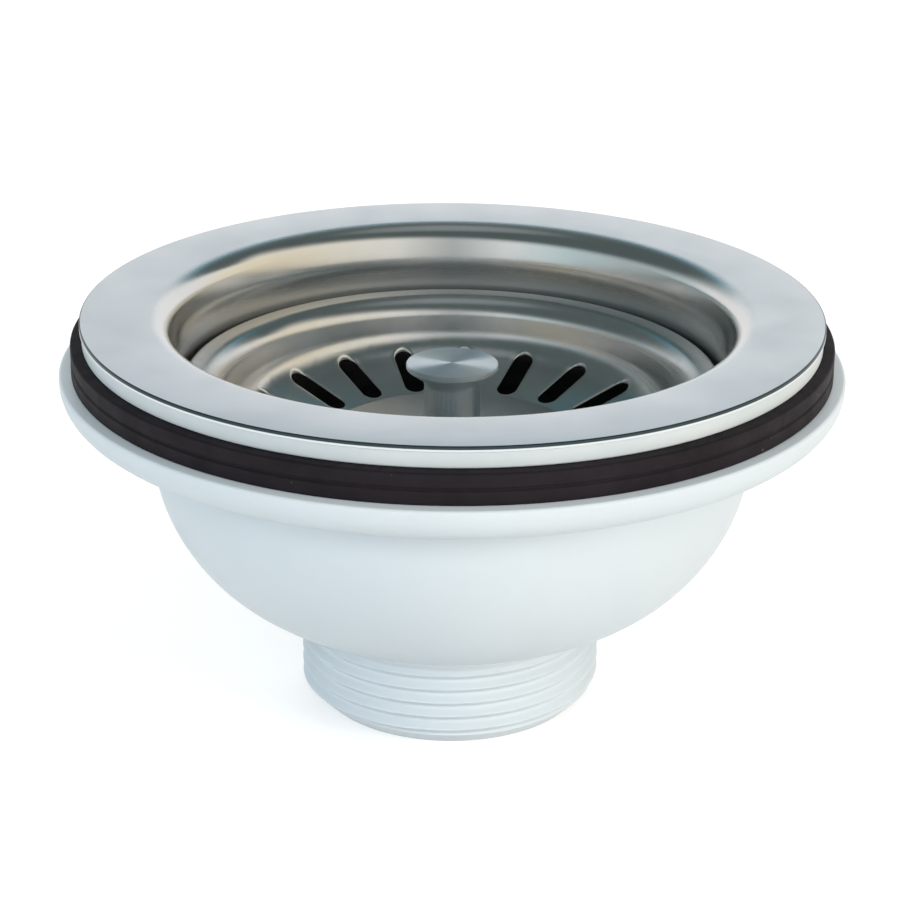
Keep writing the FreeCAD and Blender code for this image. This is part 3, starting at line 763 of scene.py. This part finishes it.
def outlet_body(material):
    """Moulded body: rounded flange, bowl and threaded outlet."""
    bowl_outer = BOWL_INNER + BOWL_WALL
    axis = bowl_outer - BOWL_CURVE
    inner_curve = BOWL_CURVE - BOWL_WALL
    swing_out = np.arccos((OUTLET_RADIUS - axis) / BOWL_CURVE)
    swing_in = np.arccos((OUTLET_BORE - axis) / inner_curve)
    swing = np.linspace(0, 1, BOWL_STEPS)[:, None]
    outer_bowl = np.concatenate([axis + BOWL_CURVE * np.cos(swing * swing_out),
                                 BOWL_CENTRE - BOWL_CURVE * np.sin(swing * swing_out)], 1)
    inner_bowl = np.concatenate([axis + inner_curve * np.cos(swing[::-1] * swing_in),
                                 BOWL_CENTRE - inner_curve * np.sin(swing[::-1] * swing_in)], 1)
    body_under = body_top - BODY_FLANGE
    rim = rounded(
        [(BOWL_INNER, body_top), (body_radius, body_top), (body_radius, body_under),
         (bowl_outer, body_under), (bowl_outer, BOWL_CENTRE)],
        [0, BODY_RIM_TOP, BODY_RIM_UNDER, BODY_CORNER, 0])
    neck = outer_bowl[-1, 1]
    cut_z = np.linspace(neck, OUTLET_LEAD, THREAD_STEPS)[1:]
    lead_z = np.linspace(OUTLET_LEAD, 0, LEAD_STEPS)[1:]
    outlet = np.concatenate([np.stack([np.full_like(cut_z, OUTLET_RADIUS), cut_z], -1),
                             np.stack([OUTLET_RADIUS - OUTLET_LEAD + lead_z, lead_z], -1)])
    outline = np.concatenate([rim[:-1], outer_bowl, outlet, [[OUTLET_BORE, 0]], inner_bowl])
    points, faces = turned(outline)
    grid = points.reshape(AROUND, len(outline), 3)
    first = len(rim) - 1 + len(outer_bowl)
    threaded = grid[:, first:first + len(outlet)]
    r = np.linalg.norm(threaded[..., :2], axis=2)
    u = 2 * np.pi * np.arange(AROUND)[:, None] / AROUND
    threaded[..., :2] *= (outlet_thread(r, threaded[..., 2], u) / r)[..., None]
    shape = grid.reshape(-1, 3), faces
    make_piece("outlet_body", [shape], material, "waste", "waste_body")


def bridge(material):
    """Boss for the insert on four ribs that end on the outlet's bore."""
    boss = rounded(
        [(BOLT_HOLE, BOSS_UNDER), (BOSS_RADIUS, BOSS_UNDER), (BOSS_RADIUS, BOSS_TOP),
         (INSERT_HOLE, BOSS_TOP), (INSERT_HOLE, BOSS_UNDER + BOSS_LIP), (BOLT_HOLE, BOSS_UNDER + BOSS_LIP)],
        [RIB_EDGE, RIB_EDGE, RIB_EDGE, 0, 0, 0], closed=True)
    half = RIB_THICKNESS / 2
    section = rounded(
        [(-half, RIB_UNDER), (half, RIB_UNDER), (half, RIB_TOP), (-half, RIB_TOP)], RIB_EDGE, closed=True)
    rib = bar(section, RIB_IN, RIB_OUT)
    ribs = [spun(rib, turn) for turn in 2 * np.pi * np.arange(RIB_COUNT) / RIB_COUNT]
    shapes = [turned(boss, around=BOSS_AROUND), *ribs]
    make_piece("insert_bridge", shapes, material, "waste", "bolt_bridge")


def paint_node(node, material):
    """Give a CAD node that stays visible its finish."""
    data = frame["nodes"][node].data
    data.materials.clear()
    data.materials.append(material)


plastic = moulded_finish()
rubber = rubber_finish()
pressed = pressed_finish()
bolt_steel = turned_finish("bolt_steel", (0.42, 0.42, 0.42), (0.5, 0.5, 0.5))
flange_cup(flange_finish())
basket(pressed)
knob(knob_finish())
washer(washer_finish())
gasket(rubber)
outlet_body(plastic)
bridge(plastic)
paint_node("threaded_insert", turned_finish("insert_brass", (0.52, 0.38, 0.16), (0.62, 0.47, 0.22)))
paint_node("fixing_bolt", bolt_steel)
paint_node("basket_stem", bolt_steel)
paint_node("bolt_washer", nylon_finish())
paint_node("stem_ring", rubber)
paint_node("stopper_seal", rubber)
paint_node("seal_plate", pressed)


# Stage: floor, room, lamps and camera; places and sizes in metres, lens and sensor in millimetres
WHITE = (1.0, 1.0, 1.0)

# Floor: matt colour, and the light added to it near the object and far from it
FLOOR_HALF = 6.0
FLOOR_COLOUR = (0.80, 0.80, 0.80)
LIFT_NEAR = 0.38
LIFT_FAR = 0.60
LIFT_RADIUS = 0.5
LIFT_BLEND = 0.4

# Camera
CAMERA_PLACE = (-0.00025, -0.3975, 0.1999)
CAMERA_TARGET = (-0.00025, 0.0, 0.0407)
CAMERA_ROLL = np.radians(0.45)
CAMERA_LENS = 108.3
CAMERA_SENSOR = 36.0

# Room: colours from left to right, and pairs of limits on a direction's Y or Z between which colours change
SOFT_STRENGTH = 0.60
SOFT_TINT = [(0.0, (0.83, 0.95, 0.98)), (1.0, (1.0, 0.97, 0.93))]
FRONT_WALL = [
    (0.0, (0.54, 0.62, 0.64)),
    (0.12, (0.66, 0.82, 0.86)),
    (0.3, (0.94, 0.98, 0.98)),
    (0.5, (0.54, 0.58, 0.58)),
    (0.7, (1.0, 0.98, 0.93)),
    (0.9, (1.0, 0.94, 0.80)),
    (1.0, (1.0, 0.88, 0.66)),
]
BACK_WALL_FADE = (0.3, 0.75)
CEILING_DARK = (0.10, 0.13, 0.13)
CEILING_TOP = (0.30, 0.33, 0.34)
CEILING_TOP_FADE = (0.90, 1.0)
CEILING_BLUE = (0.05, 0.25, 0.33)
CEILING_BLUE_FADE = (0.66, 0.84)
CEILING_SLOPE = -0.22
CEILING_FADE = (0.34, 0.70)
REAR_FADE = (0.1, 0.4)
REAR_HEIGHT_FADE = (0.43, 0.54)

# Lamps: name, place, size, power in watts and colour
SOFTBOXES = [
    ("front_softbox", (-0.25, -1.0, 0.55), (1.0, 0.4), 4.9, WHITE),
    ("right_softbox", (0.85, -0.5, 0.32), (0.5, 0.3), 5.0, (1.0, 0.90, 0.76)),
    ("left_softbox", (-0.9, -0.3, 0.25), (0.5, 0.2), 0.8, (0.80, 0.92, 1.0)),
    ("back_softbox", (0.1, 1.1, 0.5), (1.0, 0.4), 4.4, (1.0, 0.94, 0.88)),
]


def floor():
    """Plain pale floor; camera and mirror rays get more light from it, and less of that near the shadow."""
    mesh = bpy.data.meshes.new("floor")
    corners = np.array([(-1, -1, 0), (1, -1, 0), (1, 1, 0), (-1, 1, 0)]) * FLOOR_HALF
    mesh.from_pydata(corners.tolist(), [], [(0, 1, 2, 3)])
    material = bpy.data.materials.new("floor")
    material.use_nodes = True
    tree = material.node_tree
    tree.nodes.clear()
    path = add_node(tree, "ShaderNodeLightPath").outputs
    seen = calculate(tree, "MAXIMUM", path["Is Camera Ray"], path["Is Glossy Ray"])
    place = add_node(tree, "ShaderNodeTexCoord").outputs["Object"]
    away = add_node(tree, "ShaderNodeGroup", {"Vector": place, "Radius": LIFT_RADIUS, "Blend": LIFT_BLEND},
                    node_tree=RING)
    share = add_node(tree, "ShaderNodeMix", {"Factor": away.outputs["Mask"], 2: LIFT_NEAR, 3: LIFT_FAR})
    lift = calculate(tree, "MULTIPLY", seen, share.outputs[0])
    matt = add_node(tree, "ShaderNodeBsdfDiffuse", {"Color": opaque(FLOOR_COLOUR)})
    glow = add_node(tree, "ShaderNodeEmission", {"Color": opaque(WHITE), "Strength": lift})
    both = add_node(tree, "ShaderNodeAddShader", {0: matt.outputs[0], 1: glow.outputs[0]})
    add_node(tree, "ShaderNodeOutputMaterial", {"Surface": both.outputs[0]})
    mesh.materials.append(material)
    piece = bpy.data.objects.new("floor", mesh)
    bpy.context.scene.collection.objects.link(piece)


def world():
    """White backdrop for the camera, and a soft sky for matt surfaces.

    Mirror surfaces see a room with a grey middle between two bright panels, dim at the far left, warm at
    the right, white behind and dark above. The dark comes lower on the left, is paler right overhead and
    turns blue high behind.
    """
    room = bpy.data.worlds.new("studio")
    bpy.context.scene.world = room
    room.use_nodes = True
    tree = room.node_tree
    tree.nodes.clear()
    path = add_node(tree, "ShaderNodeLightPath").outputs
    way = add_node(tree, "ShaderNodeTexCoord").outputs["Generated"]
    axes = add_node(tree, "ShaderNodeSeparateXYZ", {0: way}).outputs
    side = add_node(tree, "ShaderNodeMapRange", {"Value": axes["X"], "From Min": -1.0, "From Max": 1.0})
    tint = add_ramp(tree, side.outputs["Result"], SOFT_TINT)
    front = add_ramp(tree, side.outputs["Result"], FRONT_WALL)
    walls = mix_colours(tree, fade(tree, axes["Y"], *BACK_WALL_FADE), front, WHITE)
    overhead = mix_colours(tree, fade(tree, axes["Z"], *CEILING_TOP_FADE), CEILING_DARK, CEILING_TOP)
    ceiling = mix_colours(tree, fade(tree, axes["Y"], *CEILING_BLUE_FADE), overhead, CEILING_BLUE)
    edge = calculate(tree, "MULTIPLY_ADD", axes["X"], CEILING_SLOPE, axes["Z"])
    above = fade(tree, edge, *CEILING_FADE)
    rear_height = fade(tree, axes["Z"], *REAR_HEIGHT_FADE)
    rear = calculate(tree, "MULTIPLY", fade(tree, axes["Y"], *REAR_FADE), rear_height)
    seen = mix_colours(tree, calculate(tree, "MAXIMUM", above, rear), walls, ceiling)
    soft = add_node(tree, "ShaderNodeBackground", {"Color": tint, "Strength": SOFT_STRENGTH})
    mirror = add_node(tree, "ShaderNodeBackground", {"Color": seen, "Strength": 1.0})
    white = add_node(tree, "ShaderNodeBackground", {"Color": opaque(WHITE), "Strength": 1.0})
    glossy = add_node(tree, "ShaderNodeMixShader", {
        "Fac": path["Is Glossy Ray"], 1: soft.outputs[0], 2: mirror.outputs[0]})
    clear = calculate(tree, "MAXIMUM", path["Is Camera Ray"], path["Is Transmission Ray"])
    both = add_node(tree, "ShaderNodeMixShader", {"Fac": clear, 1: glossy.outputs[0], 2: white.outputs[0]})
    add_node(tree, "ShaderNodeOutputWorld", {"Surface": both.outputs[0]})


def softbox(name, place, size, power, colour):
    """Rectangular lamp aimed at the camera's target, unseen by mirror surfaces."""
    lamp = bpy.data.lights.new(name, "AREA")
    lamp.shape = "RECTANGLE"
    lamp.size, lamp.size_y = size
    lamp.energy = power
    lamp.color = colour
    box = bpy.data.objects.new(name, lamp)
    box.location = place
    box.visible_glossy = False
    box.rotation_euler = (Vector(CAMERA_TARGET) - Vector(place)).to_track_quat("-Z", "Y").to_euler()
    bpy.context.scene.collection.objects.link(box)


def camera():
    """Camera at the photograph's angle, rolled slightly."""
    lens = bpy.data.cameras.new("camera")
    lens.lens = CAMERA_LENS
    lens.sensor_width = CAMERA_SENSOR
    eye = bpy.data.objects.new("camera", lens)
    eye.location = CAMERA_PLACE
    aim = (Vector(CAMERA_TARGET) - Vector(CAMERA_PLACE)).to_track_quat("-Z", "Y")
    eye.rotation_euler = (aim @ Euler((0, 0, CAMERA_ROLL)).to_quaternion()).to_euler()
    bpy.context.scene.collection.objects.link(eye)
    bpy.context.scene.camera = eye


floor()
world()
for lamp in SOFTBOXES:
    softbox(*lamp)
camera()
bpy.context.scene.view_settings.view_transform = "Standard"
